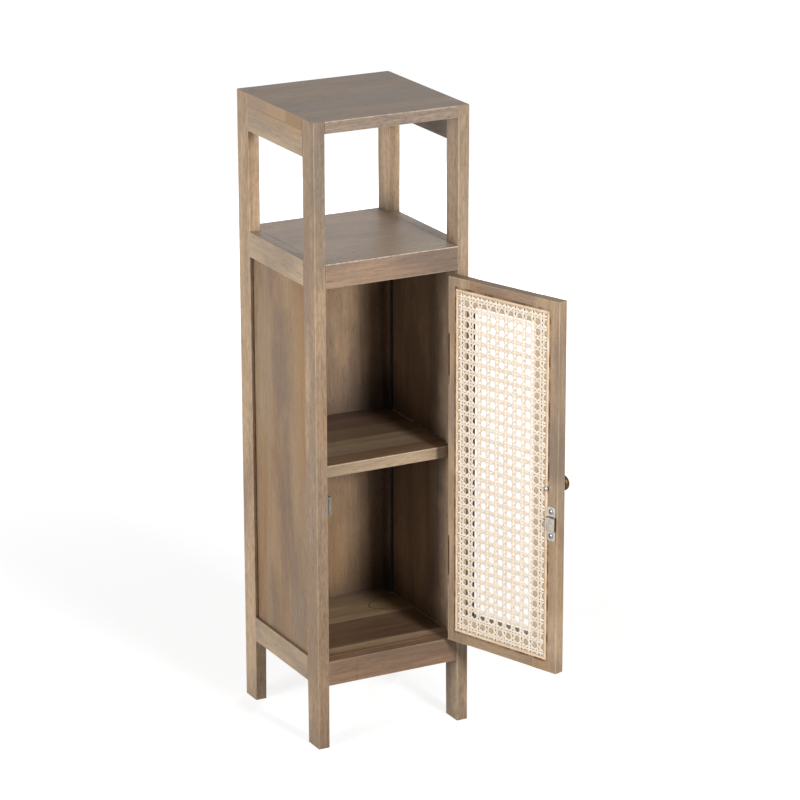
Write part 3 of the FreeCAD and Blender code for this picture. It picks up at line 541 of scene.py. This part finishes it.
# the look of each piece and the way its grain runs
timberPieces = {
    "post_front_left": ("post", "z"), "post_front_right": ("post", "z"),
    "post_back_left": ("post", "z"), "post_back_right": ("post", "z"),
    "top_board": ("top", "x"), "niche_shelf": ("niche", "x"),
    "top_rail_left": ("sideRail", "y"), "top_rail_right": ("sideRail", "y"),
    "mid_rail_left": ("sideRail", "y"), "mid_rail_right": ("sideRail", "y"),
    "mid_rail_front": ("frontRail", "x"), "mid_rail_back": ("frontRail", "x"),
    "bottom_rail_left": ("sideRail", "y"), "bottom_rail_right": ("sideRail", "y"),
    "bottom_rail_front": ("frontRail", "x"), "bottom_rail_back": ("frontRail", "x"),
    "side_panel_left": ("panel", "z"), "side_panel_right": ("panel", "z"), "back_panel": ("backPanel", "z"),
    "inner_shelf": ("inside", "x"), "bottom_board": ("inside", "x"),
    "niche_cleat_left": ("hidden", "y"), "niche_cleat_right": ("hidden", "y"),
    "bottom_cleat_left": ("hidden", "y"), "bottom_cleat_right": ("hidden", "y"),
    "top_dowels": ("hidden", "z"),
    "door_stile_hinge": ("doorFrame", "z"), "door_stile_free": ("doorFrame", "z"),
    "door_rail_top": ("doorFrame", "x"), "door_rail_bottom": ("doorFrame", "x"),
}
# what one piece has beyond its look; a stain is two axes, its middle and reach along them, tone and share
ownTouches = {
    "post_back_left": {"level": 1.10},
    "post_front_right": {"lines": (hingeShade,), "stains": [
        ("YZ", (-0.125, 0.86), (0.014, 0.20), "968470", 0.6),
        ("YZ", (-0.100, 0.86), (0.018, 0.20), "b5a38f", 0.55),
        # this stain darkens the foot of the leg as painted shade
        ("YZ", (-0.090, 0.05), (0.022, 0.08), "6f5b49", 0.5)]},
    "post_back_right": {"level": 1.05, "paintedShade": 0.95, "deep": 0.5, "edge": 0.1, "lines": (cornerShade,)},
    "post_front_left": {"stains": [
        ("YZ", (-0.125, 0.88), (0.016, 0.20), "7d6d5d", 0.85),
        ("YZ", (-0.103, 0.88), (0.018, 0.20), "85705c", 0.5),
        # this stain darkens the post toward its foot, as painted shade
        ("YZ", (-0.112, 0.16), (0.04, 0.24), "8c7156", 0.55)]},
    "side_panel_left": {"lines": (shrunkGap,), "stains": [
        ("YZ", (0.050, 0.53), (0.050, 0.18), "a58e72", 0.5),
        ("YZ", (-0.004, 0.56), (0.040, 0.15), "7a6453", 0.7),
        ("YZ", (-0.064, 0.52), (0.026, 0.18), "a68257", 0.55),
        ("YZ", (0.062, 0.36), (0.04, 0.12), "937042", 0.4),
        ("YZ", (-0.010, 0.36), (0.028, 0.18), "765d48", 0.6),
        ("YZ", (0.020, 0.19), (0.05, 0.06), "866a4d", 0.5),
        ("YZ", (-0.052, 0.18), (0.03, 0.07), "8d7a66", 0.5)]},
    # the right panel's pale stain near the front is painted light, where the left lamp would reach the
    # inner wall
    "side_panel_right": {"tan": "a68f78", "grey": "857363", "brown": "8f7257", "deep": 0.4, "edge": 0.1,
                         "stains": [("YZ", (-0.085, 0.42), (0.035, 0.40), "cdb59b", 0.6)]},
    "mid_rail_front": {"level": 0.85, "lines": (arrisHighlight("mid_rail_front"),)},
    "bottom_rail_front": {"tan": "a7866a", "grey": "886d56", "level": 0.76, "lines": (railJoint,)},
    # painted shade: the right top rail's inner face under the top is darkened
    "top_rail_right": {"stains": [("XZ", (0.1065, 0.913), (0.006, 0.08), "5d534b", 0.8)]},
    "bottom_rail_left": {"level": 0.92},
    "top_rail_left": {"level": 1.11, "grimeAndShade": 0.2},
    "inner_shelf": {"boards": [
        (-0.12, "83664b"), (-0.068, "a48e73"), (-0.010, "736049"), (0.040, "6b5042")]},
    "bottom_board": {"lines": (glueLine, grainEye), "boards": [
        (-0.12, "94704f"), (-0.098, "b59c7e"), (-0.079, "6b4f39"), (0.010, "a38b6a")]},
    "door_stile_hinge": {"level": 1.02, "lines": (grooveLine, rimShade), "stains": [
        ("YZ", (-0.145, 0.37), (0.05, 0.06), "86705d", 0.5),
        ("YZ", (-0.145, 0.55), (0.05, 0.04), "8d7661", 0.4)]},
    "door_stile_free": {"level": 0.95, "lines": (grooveLine, filledHole), "stains": [
        ("YZ", (-0.310, 0.40), (0.05, 0.05), "bba186", 0.45),
        ("YZ", (-0.310, 0.19), (0.05, 0.05), "c4aa8c", 0.55)]},
    "door_rail_top": {"level": 1.06, "stains": [("YZ", (-0.213, 0.684), (0.036, 0.03), "7d6558", 0.65)]},
    "door_rail_bottom": {"level": 0.87},
}
# faces finished apart from the rest of their piece; the door's edges round the cane are painted dark, as
# painted shade
topFront = {"grain": "x", "start": (0.4, 2.2, 1.1), "tan": "aa9582", "grey": "8a786b", "level": 0.74,
            "warm": 0.2, "edge": 0.2, "lines": (arrisHighlight("top_board"),)}
shelfFront = {"grain": "x", "start": (2.0, 1.3, 0.6), "level": 0.84, "lines": (arrisHighlight("inner_shelf"),)}
doorEdgeShade = {"grain": "z", "start": (1.4, 0.2, 2.1), "tan": "b08a58", "grey": "8f6f48", "level": 0.45,
            "onDoor": True, "shine": 0.1, "lines": ()}
grainSteps = ((0.37, 3), (0.61, 5), (0.23, 4))  # each piece starts further along, and comes round again
squareOn = 0.9                                  # how square to a direction a face has to stand
flush = 0.001                                   # faces this near one height were planed together


def lookOf(kind, **touches):
    return {**plainLook, **looks[kind], **touches}


def wear(node, material):
    mesh = nodes[node].data
    mesh.materials.clear()
    mesh.materials.append(material)


def wearOnFaces(node, material, chosen):  # a second finish on the faces that chosen picks
    mesh = nodes[node].data
    mesh.materials.append(material)
    for face in mesh.polygons:
        if chosen(face):
            face.material_index = len(mesh.materials) - 1


def facesFront(face):
    return face.normal.y < -squareOn


def facesUp(face):
    return face.normal.z > squareOn


def dressTimber():
    finishes = {}
    for count, (node, (kind, grain)) in enumerate(timberPieces.items()):
        start = tuple(step * count % wrap for step, wrap in grainSteps)
        look = lookOf(kind, grain=grain, start=start, onDoor=node.startswith("door_"))
        look.update(ownTouches.get(node, {}))
        finishes[node] = washedTimber("timber." + node, look)
        wear(node, finishes[node])
    return finishes


def dressEdges(finishes):
    front = washedTimber("timber.top_board.front", lookOf("post", **topFront))
    wearOnFaces("top_board", front, facesFront)
    front = washedTimber("timber.inner_shelf.front", lookOf("sideRail", **shelfFront))
    wearOnFaces("inner_shelf", front, facesFront)
    # painted shade on the inner edges of the door's opening, behind the cane
    shadedEdge = washedTimber("timber.door.innerEdgePaintedShade", lookOf("doorFrame", **doorEdgeShade))
    toFreeSide = Vector((-math.cos(door["openAngle"]), -math.sin(door["openAngle"]), 0))
    wearOnFaces("door_stile_hinge", shadedEdge, lambda face: face.normal.dot(toFreeSide) > squareOn)
    wearOnFaces("door_rail_bottom", shadedEdge, facesUp)
    # tops planed and finished together run on across the joints
    topHeight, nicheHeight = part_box("top_board")[1].z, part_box("niche_shelf")[1].z
    for post in ("front_left", "front_right", "back_left", "back_right"):
        wearOnFaces("post_" + post, finishes["top_board"],
                    lambda face: facesUp(face) and face.center.z > topHeight - flush)
    for rail in ("left", "right", "front", "back"):
        wearOnFaces("mid_rail_" + rail, finishes["niche_shelf"],
                    lambda face: facesUp(face) and face.center.z > nicheHeight - flush)


# the ends of the top's glued staves, one tone for each
staveEnds = {
    "boards": [(-0.089, "997c5b"), (-0.037, "a98f70"), (-0.023, "a98b6d"), (0.026, "9f8771")],
    "level": 0.80, "ringScale": 120.0, "ringBend": 3.0, "ringDetail": 2.0, "rings": 0.10,
    "poreScale": 900, "pores": 0.30,
    "edge": 0.35, "edgeColour": "cbb08d",
    "gloss": (0.50, 0.66), "dent": (0.0004, 0.2),
}


def endGrain():
    material, tree, shader = freshMaterial("timber.staveEnds")
    place = objectPlace(tree)
    arcs = put(tree, "ShaderNodeTexWave", {
        "Vector": place, "Scale": staveEnds["ringScale"], "Distortion": staveEnds["ringBend"],
        "Detail": staveEnds["ringDetail"]}, wave_type="RINGS").outputs[1]
    pores = noise(tree, place, staveEnds["poreScale"], detail=3, rough=0.6)
    shade = plus(tree, times(tree, arcs, staveEnds["rings"]), times(tree, pores, staveEnds["pores"]))
    tones = boardTones(tree, splitAxes(tree, place)["Y"], staveEnds["boards"])
    colour = blendColours(tree, 1.0, tones, plus(tree, shade, staveEnds["level"]), "MULTIPLY")
    # pale arrises on the stave ends: wear and painted highlight
    wornAndLit = times(tree, edgeMask(tree, timber["edgeReach"]), staveEnds["edge"])
    colour = blendColours(tree, wornAndLit, colour, paint(staveEnds["edgeColour"]))
    tree.links.new(colour, shader.inputs["Base Color"])
    tree.links.new(spread(tree, pores, *noiseSpan, *staveEnds["gloss"]), shader.inputs["Roughness"])
    relief(tree, shader, pores, *staveEnds["dent"])
    wearOnFaces("top_board", material, lambda face: abs(face.normal.x) > squareOn)


dressEdges(dressTimber())
endGrain()
print("timber grained")


# metal and moulded fittings
fittings = {
    "zinc": {"colour": "c2bbb1", "stain": "8d867e", "metal": 1.0, "rough": (0.26, 0.44), "grain": 260,
             "bright": 0.35},
    "plated": {"colour": "8e9298", "stain": "5d6066", "metal": 1.0, "rough": (0.26, 0.44), "grain": 260,
               "bright": 0.15},
    "steel": {"colour": "4d463e", "stain": "2a2520", "metal": 1.0, "rough": (0.38, 0.55), "grain": 320,
              "bright": 0.2},
    "brass": {"colour": "604a2f", "stain": "2f2419", "metal": 1.0, "rough": (0.28, 0.5), "grain": 240,
              "bright": 0.35},
    "iron": {"colour": "8d8b88", "stain": "5c5a57", "metal": 1.0, "rough": (0.35, 0.55), "grain": 300,
             "bright": 0.35},
    "ferrite": {"colour": "7c7a70", "stain": "67655b", "metal": 0.0, "rough": (0.55, 0.75), "grain": 500,
                "bright": 0.35},
    "moulded": {"colour": "858578", "stain": "706f63", "metal": 0.0, "rough": (0.5, 0.65), "grain": 700,
                "bright": 0.1},
}
handling = {
    "smearScale": 0.25, "smearRange": (0.40, 0.70), "smear": 0.6,  # smearScale is a share of the grain's
    "grimeAndShadeReach": 0.002, "grimeAndShade": 0.6, "grimeAndShadeColour": "1c1815",
    "edgeReach": 0.0004, "metalEdge": "dcd6c8", "mouldedEdge": "8c8c86",
    "shine": 0.5, "dent": (0.0001, 0.15),
}
fittingPieces = {
    "hinge_post_leaf_upper": "steel", "hinge_post_leaf_lower": "steel",
    "hinge_door_leaf_upper": "steel", "hinge_door_leaf_lower": "steel",
    "hinge_pin_upper": "steel", "hinge_pin_lower": "steel",
    "hinge_post_screws": "steel", "hinge_door_screws": "steel", "cleat_screws": "steel",
    "strike_plate": "zinc", "strike_screws": "plated", "knob_bolt": "zinc", "catch_screws": "zinc",
    "knob": "brass", "catch_pole_plates": "iron", "catch_magnet": "ferrite", "catch_body": "moulded",
}


def fittingFinish(name, look):
    material, tree, shader = freshMaterial(name)
    place = objectPlace(tree)
    grain = noise(tree, place, look["grain"], detail=5, rough=0.6)
    smear = noise(tree, place, look["grain"] * handling["smearScale"], detail=3, rough=0.5, bend=0.5)
    smear = spread(tree, smear, *handling["smearRange"], 0.0, handling["smear"])
    colour = blendColours(tree, smear, paint(look["colour"]), paint(look["stain"]))
    # dirt and painted shade in the hollows of the fittings
    grimeAndShade = times(tree, cornerMask(tree, handling["grimeAndShadeReach"]), handling["grimeAndShade"])
    colour = blendColours(tree, grimeAndShade, colour, paint(handling["grimeAndShadeColour"]))
    # painted highlight along the fittings' edges
    bright = times(tree, edgeMask(tree, handling["edgeReach"]), look["bright"])
    edgeColour = handling["metalEdge" if look["metal"] else "mouldedEdge"]
    colour = blendColours(tree, bright, colour, paint(edgeColour))
    tree.links.new(colour, shader.inputs["Base Color"])
    tree.links.new(spread(tree, grain, *noiseSpan, *look["rough"]), shader.inputs["Roughness"])
    shader.inputs["Metallic"].default_value = look["metal"]
    shader.inputs["Specular IOR Level"].default_value = handling["shine"]
    relief(tree, shader, grain, *handling["dent"])
    return material


def dressFittings():
    finishes = {kind: fittingFinish("fitting." + kind, look) for kind, look in fittings.items()}
    for node, kind in fittingPieces.items():
        wear(node, finishes[kind])


dressFittings()
print("fittings finished")


# cane: pairs of strands up and across with two single diagonals woven through them
cane = {
    "across": 0.01670, "up": 0.01587,        # pitch of the holes
    "gapAcross": 0.00460, "gapUp": 0.00370,  # between the middles of a pair
    "uprightWidth": 0.00335, "levelWidth": 0.00290, "diagonalWidth": 0.00265, "thick": 0.00034,
    "shoulder": 0.72, "shoulderRise": 0.40,  # a strand's section, in half widths and thicknesses
    "crown": 0.58, "belly": 0.42,
    "lift": 0.00034,                         # height of one layer of strands
    "rise": 0.0007,                          # middle of the weave above the door's inner face
    "waver": ((0.00022, 2.3, 41.0), (0.00014, 5.1, 97.0)),  # strands never lie quite straight
    "levelPhase": 60,
    "uprightSteps": 130, "levelSteps": 44,
    "diagonalSteps": 12, "fewestSteps": 4,   # diagonal steps are for one pitch
    "shortest": 0.3,                         # shorter diagonals, in pitches, are left out
    "dip": 2.1,                              # how sharply a diagonal goes over and under
    "uprightHues": (0.37, 0.11), "levelHues": (0.53, 0.17),  # steps of the numbers that tint the strands
    "diagonalHues": (0.71, 0.29), "firstDiagonal": 100,
}
caneMiddle = ((door["caneLeft"] + door["caneRight"]) / 2, (door["caneLow"] + door["caneHigh"]) / 2)
columns = int((door["caneRight"] - door["caneLeft"]) / cane["across"] / 2) + 2
rows = int((door["caneHigh"] - door["caneLow"]) / cane["up"] / 2) + 2


def evenly(start, end, steps):
    return [start + (end - start) * i / steps for i in range(steps + 1)]


def waver(k, along):
    return sum(size * math.sin(turn * k + rate * along) for size, turn, rate in cane["waver"])


def strandSection(width):  # flat below, crowned above
    half, thick = width / 2, cane["thick"]
    shoulder, rise = half * cane["shoulder"], thick * cane["shoulderRise"]
    belly = -thick * cane["belly"]
    return [(-half, 0.0), (-shoulder, rise), (0.0, thick * cane["crown"]), (shoulder, rise),
            (half, 0.0), (shoulder, belly), (-shoulder, belly)]


def addStrand(store, path, across, section, hue):
    # path holds (x, z, height) in the sheet, across is the unit vector over the strand's width
    verts, faces, hues, sides = store
    ring = len(section)
    first = len(verts)
    for x, z, height in path:
        for offset, rise in section:
            verts.append((x + across[0] * offset, door["innerFace"] + cane["rise"] + height + rise,
                          z + across[1] * offset))
            hues.append(hue)
            sides.append(offset)
    for step in range(len(path) - 1):
        for k in range(ring):
            a = first + step * ring + k
            b = first + step * ring + (k + 1) % ring
            faces.append((a, b, b + ring, a + ring))
    last = first + (len(path) - 1) * ring
    faces.append(tuple(first + k for k in reversed(range(ring))))
    faces.append(tuple(last + k for k in range(ring)))


# holes lie on whole columns and half rows from the middle, with pairs of strands between them
def layUprights(store):
    section, trim = strandSection(cane["uprightWidth"]), cane["uprightWidth"] / 2
    for k in range(-columns, columns):
        for side in (-1, 1):
            x = caneMiddle[0] + (k + 0.5) * cane["across"] + side * cane["gapAcross"] / 2
            if x - trim <= door["caneLeft"] or x + trim >= door["caneRight"]:
                continue
            path = []
            for z in evenly(door["caneLow"], door["caneHigh"], cane["uprightSteps"]):
                path.append((x + waver(k * 2 + side, z), z, side * cane["lift"]))
            hue = cane["uprightHues"][0] * k + cane["uprightHues"][1] * side
            addStrand(store, path, (1, 0), section, hue)


def layLevels(store):
    section, trim = strandSection(cane["levelWidth"]), cane["levelWidth"] / 2
    for k in range(-rows, rows + 1):
        for side in (-1, 1):
            z = caneMiddle[1] + k * cane["up"] + side * cane["gapUp"] / 2
            if z - trim <= door["caneLow"] or z + trim >= door["caneHigh"]:
                continue
            path = []
            for x in evenly(door["caneLeft"], door["caneRight"], cane["levelSteps"]):
                path.append((x, z + waver(k * 2 + side + cane["levelPhase"], x), 0.0))
            hue = cane["levelHues"][0] * k + cane["levelHues"][1] * side
            addStrand(store, path, (0, -1), section, hue)


# each diagonal passes midway between neighbouring holes, its places are from the sheet's middle
def layDiagonals(store):
    section, trim = strandSection(cane["diagonalWidth"]), cane["diagonalWidth"] / 2
    midX, midZ = caneMiddle
    left, right = door["caneLeft"] - midX + trim, door["caneRight"] - midX - trim
    low, high = door["caneLow"] - midZ + trim, door["caneHigh"] - midZ - trim
    slope = cane["up"] / cane["across"]
    tilt = math.hypot(1, slope)
    for sense in (1, -1):
        for k in range(-columns - rows, columns + rows):
            offset = k * cane["up"]
            xEnds = sorted((offset - z) / slope * sense for z in (low, high))
            xStart, xEnd = max(left, xEnds[0]), min(right, xEnds[1])
            if xEnd - xStart < cane["across"] * cane["shortest"]:
                continue
            steps = max(cane["fewestSteps"], int((xEnd - xStart) / cane["across"] * cane["diagonalSteps"]))
            path = []
            for x in evenly(xStart, xEnd, steps):
                z = offset - x * slope * sense
                sway = max(-1.0, min(1.0, cane["dip"] * math.cos(2 * math.pi * x / cane["across"])))
                path.append((midX + x, midZ + z, 2 * cane["lift"] * sway * sense))
            hue = cane["firstDiagonal"] + cane["diagonalHues"][0] * k + cane["diagonalHues"][1] * sense
            addStrand(store, path, (slope / tilt, sense / tilt), section, hue)


def weaveCane():
    store = ([], [], [], [])
    layUprights(store)
    layLevels(store)
    layDiagonals(store)
    verts, faces, hues, sides = store
    mesh = bpy.data.meshes.new("caneSheet")
    mesh.from_pydata([swing @ Vector(v) for v in verts], [], faces)
    mesh.attributes.new("strand", "FLOAT", "POINT").data.foreach_set("value", hues)
    mesh.attributes.new("overStrand", "FLOAT", "POINT").data.foreach_set("value", sides)
    mesh.validate()
    for face in mesh.polygons:
        face.use_smooth = True
    sheet = bpy.data.objects.new("caneSheet", mesh)
    scene.collection.objects.link(sheet)
    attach(sheet, "door")
    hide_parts("cane_webbing")
    return sheet


caneLook = {
    "light": "fff4e4", "dark": "f5e4cf", "toneRange": (0.25, 0.95), "hueShare": 0.55, "patchShare": 0.7,
    "patchScale": 45,
    "straight": (50, 40), "straightShade": "ead3b6", "straightShadeShare": 0.12,  # painted shade: straight strands are darker than the diagonals, which catch the highlights
    "vein": "dcc09a", "veinScale": 4200.0, "veinShift": 31.0, "veinDetail": 2.0,
    "veinRange": (0.55, 0.75), "veinShare": 0.35,
    "spotScale": 420, "spotRange": (0.68, 0.78), "spotShare": 0.5,
    "grimeAndShadeReach": 0.0016, "grimeAndShade": 0.75, "grimeAndShadeColour": "935f33",
    "gloss": (0.36, 0.52), "dent": (0.0001, 0.2),
}


def caneFinish():
    material, tree, shader = freshMaterial("cane.strands")
    place = objectPlace(tree)
    strand = put(tree, "ShaderNodeAttribute", attribute_name="strand").outputs["Fac"]
    over = put(tree, "ShaderNodeAttribute", attribute_name="overStrand").outputs["Fac"]
    hue = put(tree, "ShaderNodeTexWhiteNoise", {"W": strand}, noise_dimensions="1D").outputs["Value"]
    patch = noise(tree, place, caneLook["patchScale"], detail=4, rough=0.6)
    tone = plus(tree, times(tree, hue, caneLook["hueShare"]), times(tree, patch, caneLook["patchShare"]))
    tone = spread(tree, tone, *caneLook["toneRange"])
    colour = blendColours(tree, tone, paint(caneLook["light"]), paint(caneLook["dark"]))
    straight = spread(tree, strand, *caneLook["straight"], 0.0, caneLook["straightShadeShare"])
    colour = blendColours(tree, straight, colour, paint(caneLook["straightShade"]))
    along = plus(tree, times(tree, over, caneLook["veinScale"]), times(tree, strand, caneLook["veinShift"]))
    veins = put(tree, "ShaderNodeTexNoise", {
        "W": along, "Scale": 1.0, "Detail": caneLook["veinDetail"]}, noise_dimensions="1D").outputs[0]
    veinShare = spread(tree, veins, *caneLook["veinRange"], 0.0, caneLook["veinShare"])
    colour = blendColours(tree, veinShare, colour, paint(caneLook["vein"]))
    spots = noise(tree, place, caneLook["spotScale"], detail=2, rough=0.5)
    spots = spread(tree, spots, *caneLook["spotRange"], 0.0, caneLook["spotShare"])
    colour = blendColours(tree, spots, colour, paint(caneLook["vein"]))
    # painted shade between the strands, where they crowd together
    grimeAndShade = times(tree, cornerMask(tree, caneLook["grimeAndShadeReach"]), caneLook["grimeAndShade"])
    colour = blendColours(tree, grimeAndShade, colour, paint(caneLook["grimeAndShadeColour"]))
    tree.links.new(colour, shader.inputs["Base Color"])
    tree.links.new(spread(tree, patch, *noiseSpan, *caneLook["gloss"]), shader.inputs["Roughness"])
    relief(tree, shader, veins, *caneLook["dent"])
    return material


caneSheet = weaveCane()
caneSheet.data.materials.append(caneFinish())
print("cane woven,", len(caneSheet.data.polygons), "faces")


# the reed pressed into the groove round the cane
reed = {
    "light": "f3dcc0", "dark": "e0bd93", "patchScale": 38,
    "vein": "b98a5c", "drawn": 0.03, "fibreScale": 900, "fibreRange": (0.52, 0.70), "fibreShare": 0.5,
    "grimeAndShadeReach": 0.0025, "grimeAndShade": 0.5, "grimeAndShadeColour": "6d5034",
    "gloss": (0.42, 0.58), "dent": (0.0002, 0.3),
}


def reedFinish(name, grain):
    material, tree, shader = freshMaterial(name)
    place = turnedPlace(tree)
    drawn = stretched(tree, place, drawnOut(grain, reed["drawn"]))
    fibres = noise(tree, drawn, reed["fibreScale"], detail=4, rough=0.6)
    patch = noise(tree, place, reed["patchScale"], detail=4, rough=0.6, bend=0.3)
    colour = blendColours(tree, spread(tree, patch, *noiseSpan), paint(reed["light"]), paint(reed["dark"]))
    fibreShare = spread(tree, fibres, *reed["fibreRange"], 0.0, reed["fibreShare"])
    colour = blendColours(tree, fibreShare, colour, paint(reed["vein"]))
    # dirt and painted shade where the reed meets the groove and the cane
    grimeAndShade = times(tree, cornerMask(tree, reed["grimeAndShadeReach"]), reed["grimeAndShade"])
    colour = blendColours(tree, grimeAndShade, colour, paint(reed["grimeAndShadeColour"]))
    tree.links.new(colour, shader.inputs["Base Color"])
    tree.links.new(spread(tree, fibres, *noiseSpan, *reed["gloss"]), shader.inputs["Roughness"])
    relief(tree, shader, fibres, *reed["dent"])
    return material


def dressReed():
    upright, level = reedFinish("reed.upright", "z"), reedFinish("reed.level", "x")
    for node in ("spline_hinge_side", "spline_free_lower", "spline_free_upper"):
        wear(node, upright)
    for node in ("spline_top", "spline_bottom"):
        wear(node, level)


dressReed()
print("reed pressed in")


# pale floor and soft light
studio = {
    "fill": 0.08,                                # level of the surrounding light
    "floorHalf": 30.0, "floorColour": "a8a8a8",
    "floorNear": 0.80, "nearReach": (0.5, 2.2),  # the floor's glow by the cabinet, and where that ends
    "lamps": [
        {"name": "front", "place": (0.34, -2.94, 1.40), "aim": (0, -0.1, 0.5), "size": 0.6, "power": 70},
        {"name": "left", "place": (-3.02, -0.68, 0.85), "aim": (0, 0, 0.5), "size": 1.2, "power": 70},
        {"name": "back", "place": (2.30, 2.50, 0.40), "aim": (0, 0, 0.5), "size": 0.6, "power": 100},
    ],
}


def seenRay(tree):  # straight to the camera, or by way of metal or glass
    rays = put(tree, "ShaderNodeLightPath").outputs
    seen = larger(tree, rays["Is Camera Ray"], rays["Is Glossy Ray"])
    return larger(tree, seen, rays["Is Transmission Ray"])


def lightStudio():
    world = bpy.data.worlds.new("studio")
    scene.world = world
    world.use_nodes = True
    tree = world.node_tree
    tree.nodes.clear()
    level = spread(tree, seenRay(tree), 0, 1, studio["fill"], 1.0, smooth=False)
    back = put(tree, "ShaderNodeBackground", {"Color": (1, 1, 1, 1), "Strength": level})
    put(tree, "ShaderNodeOutputWorld", {"Surface": back.outputs[0]})
    for lamp in studio["lamps"]:
        light = bpy.data.lights.new(lamp["name"], "AREA")
        light.shape = "DISK"
        light.size = lamp["size"]
        light.energy = lamp["power"]
        holder = bpy.data.objects.new("lamp." + lamp["name"], light)
        scene.collection.objects.link(holder)
        holder.location = lamp["place"]
        toward = Vector(lamp["aim"]) - Vector(lamp["place"])
        holder.rotation_euler = toward.to_track_quat("-Z", "Y").to_euler()


def layFloor():
    half = studio["floorHalf"]
    corners = [(-half, -half, 0), (half, -half, 0), (half, half, 0), (-half, half, 0)]
    mesh = bpy.data.meshes.new("floor")
    mesh.from_pydata(corners, [], [(0, 1, 2, 3)])
    floor = bpy.data.objects.new("floor", mesh)
    scene.collection.objects.link(floor)
    material = bpy.data.materials.new("floor")
    material.use_nodes = True
    tree = material.node_tree
    tree.nodes.clear()
    away = put(tree, "ShaderNodeVectorMath", {0: objectPlace(tree)}, operation="LENGTH").outputs["Value"]
    white = spread(tree, away, *studio["nearReach"], studio["floorNear"], 1.0)
    matt = put(tree, "ShaderNodeBsdfDiffuse", {"Color": paint(studio["floorColour"])})
    glow = put(tree, "ShaderNodeEmission", {
        "Color": (1, 1, 1, 1), "Strength": times(tree, white, seenRay(tree))})
    both = put(tree, "ShaderNodeAddShader", {0: matt.outputs[0], 1: glow.outputs[0]})
    put(tree, "ShaderNodeOutputMaterial", {"Surface": both.outputs[0]})
    mesh.materials.append(material)


lightStudio()
layFloor()
print("studio lit")
